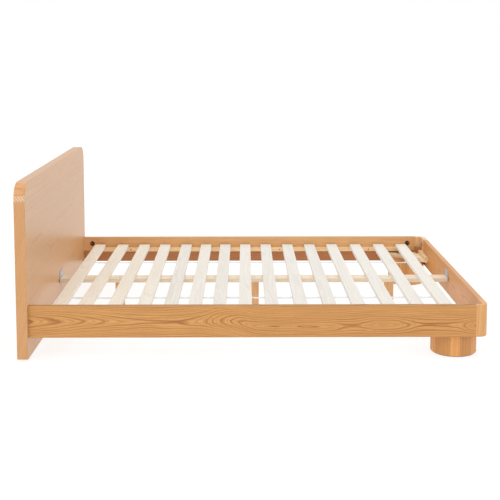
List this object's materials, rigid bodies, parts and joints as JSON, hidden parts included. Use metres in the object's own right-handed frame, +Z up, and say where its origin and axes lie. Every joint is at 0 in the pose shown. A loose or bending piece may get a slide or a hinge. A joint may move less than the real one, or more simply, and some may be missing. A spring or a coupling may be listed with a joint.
{
  "type": "slatted bed frame",
  "caption": "Low wooden bed frame with a slab headboard, rounded foot corners, round foot legs, centre beam on posts and a lift-out slat roll.",
  "frame": {"origin": "centre of the footprint, on the floor", "axes": "+X from headboard to foot along the bed's length, +Y across the bed to the sleeper's left, +Z up"},
  "size_m": [2.125, 1.664, 0.806],
  "materials": {
    "headboard_oak": "oiled oak, satin",
    "rail_oak": "oiled oak, satin",
    "corner_oak": "oiled oak, vertical grain, satin",
    "block_oak": "oiled oak, satin",
    "leg_oak": "staved oak, oiled, satin",
    "post_wood": "oiled hardwood, satin",
    "pine": "planed pine, bare",
    "slat_poplar": "planed pale softwood, bare",
    "dowel_beech": "fluted beech, bare",
    "white_webbing": "woven polyester tape",
    "pad_felt": "pressed felt",
    "bracket_steel": "grey powder coat",
    "zinc_steel": "zinc plated",
    "glide_nylon": "moulded nylon",
    "foot_nylon": "moulded nylon over a steel stem"
  },
  "bodies": {
    "frame": {"headboard_panel": "headboard_oak", "headboard_glides": "glide_nylon", "foot_rail": "rail_oak", "beam_bracket_head": "bracket_steel", "beam_bracket_foot": "bracket_steel", "bracket_screws": "zinc_steel", "joint_rods": "zinc_steel", "half_moon_washers": "zinc_steel", "joint_nuts": "zinc_steel", "threaded_inserts": "zinc_steel", "joint_dowels": "dowel_beech", "leg_screws": "zinc_steel", "cleat_screws": "zinc_steel", "side_rail_right": "rail_oak", "foot_corner_right": "corner_oak", "side_ledger_right": "pine", "ledger_screws_right": "zinc_steel", "round_leg_right": "leg_oak", "leg_pad_right": "pad_felt", "leg_gusset_right": "pine", "foot_cleat_right": "pine", "corner_block_right": "block_oak", "side_rail_left": "rail_oak", "foot_corner_left": "corner_oak", "side_ledger_left": "pine", "ledger_screws_left": "zinc_steel", "round_leg_left": "leg_oak", "leg_pad_left": "pad_felt", "leg_gusset_left": "pine", "foot_cleat_left": "pine", "corner_block_left": "block_oak"},
    "centre_support": {"centre_beam": "pine", "post_screws": "zinc_steel", "post_inserts": "zinc_steel", "centre_post_1": "post_wood", "centre_post_2": "post_wood", "centre_post_3": "post_wood"},
    "slat_roll": {"slat_01": "slat_poplar", "slat_02": "slat_poplar", "slat_03": "slat_poplar", "slat_04": "slat_poplar", "slat_05": "slat_poplar", "slat_06": "slat_poplar", "slat_07": "slat_poplar", "slat_08": "slat_poplar", "slat_09": "slat_poplar", "slat_10": "slat_poplar", "slat_11": "slat_poplar", "slat_12": "slat_poplar", "slat_13": "slat_poplar", "slat_14": "slat_poplar", "slat_15": "slat_poplar", "webbing_tape_right": "white_webbing", "webbing_tape_left": "white_webbing", "tape_staples": "zinc_steel"},
    "foot_1": {"levelling_foot_1": "foot_nylon"},
    "foot_2": {"levelling_foot_2": "foot_nylon"},
    "foot_3": {"levelling_foot_3": "foot_nylon"}
  },
  "joints": [
    {"name": "centre_support_lift", "type": "slide", "parent": "frame", "child": "centre_support", "axis": [0, 0, 1], "range_m": [0, 0.2]},
    {"name": "slat_roll_lift", "type": "slide", "parent": "centre_support", "child": "slat_roll", "axis": [0, 0, 1], "range_m": [0, 0.35]},
    {"name": "foot_1_level", "type": "slide", "parent": "centre_support", "child": "foot_1", "axis": [0, 0, -1], "range_m": [0, 0.01]},
    {"name": "foot_2_level", "type": "slide", "parent": "centre_support", "child": "foot_2", "axis": [0, 0, -1], "range_m": [0, 0.01]},
    {"name": "foot_3_level", "type": "slide", "parent": "centre_support", "child": "foot_3", "axis": [0, 0, -1], "range_m": [0, 0.01]}
  ]
}
